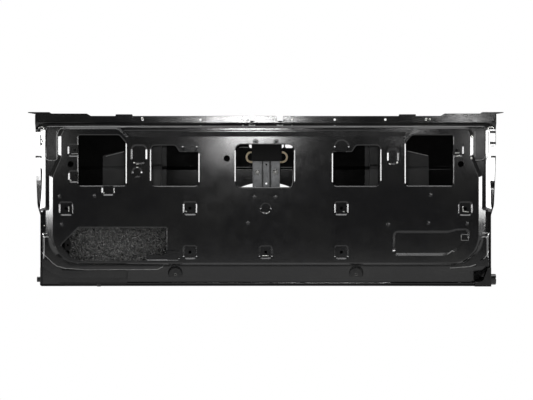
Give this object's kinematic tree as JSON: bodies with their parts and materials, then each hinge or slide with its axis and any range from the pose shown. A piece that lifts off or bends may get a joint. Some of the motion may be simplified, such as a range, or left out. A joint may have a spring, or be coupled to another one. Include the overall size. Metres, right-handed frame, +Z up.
{
  "type": "pickup truck tailgate shell",
  "caption": "Bare pickup truck tailgate shell in black primer, with its stamped inner panel open, outer skin, hinge brackets, straps and reinforcements.",
  "frame": {"origin": "bottom centre of the whole shell's box", "axes": "+X across the truck to the right as seen from the cargo side, +Y from the cargo side to the outer side, +Z up"},
  "size_m": [1.622, 0.096, 0.594],
  "materials": {
    "ecoat": "satin",
    "zinc_steel": "satin",
    "bolt_steel": "satin",
    "seal_foam": "matte",
    "black_rubber": "matte",
    "black_plastic": "matte",
    "damping_mat": "gloss"
  },
  "bodies": {
    "root": {"inner_panel": "ecoat", "outer_skin": "ecoat", "wing_tip_left": "ecoat", "wing_tip_right": "ecoat", "rail_tab_left": "ecoat", "rail_tab_right": "ecoat", "latch_reinforcement_left": "ecoat", "latch_reinforcement_right": "ecoat", "corner_plate_left": "ecoat", "bottom_stop": "black_rubber", "hinge_bracket_left": "ecoat", "hinge_bracket_right": "ecoat", "pivot_stub_left": "ecoat", "pivot_pin_right": "ecoat", "handle_seal": "seal_foam", "handle_box": "black_plastic", "handle_strap_left": "zinc_steel", "handle_strap_middle": "zinc_steel", "handle_strap_right": "zinc_steel", "strap_plate": "ecoat", "strap_bolts": "bolt_steel", "skin_patch_left": "ecoat", "skin_patch_right": "ecoat", "skin_stiffener_left": "ecoat", "skin_stiffener_right": "ecoat", "damping_sheet": "damping_mat", "rod_guide": "black_plastic", "band_nuts": "bolt_steel"}
  },
  "joints": []
}
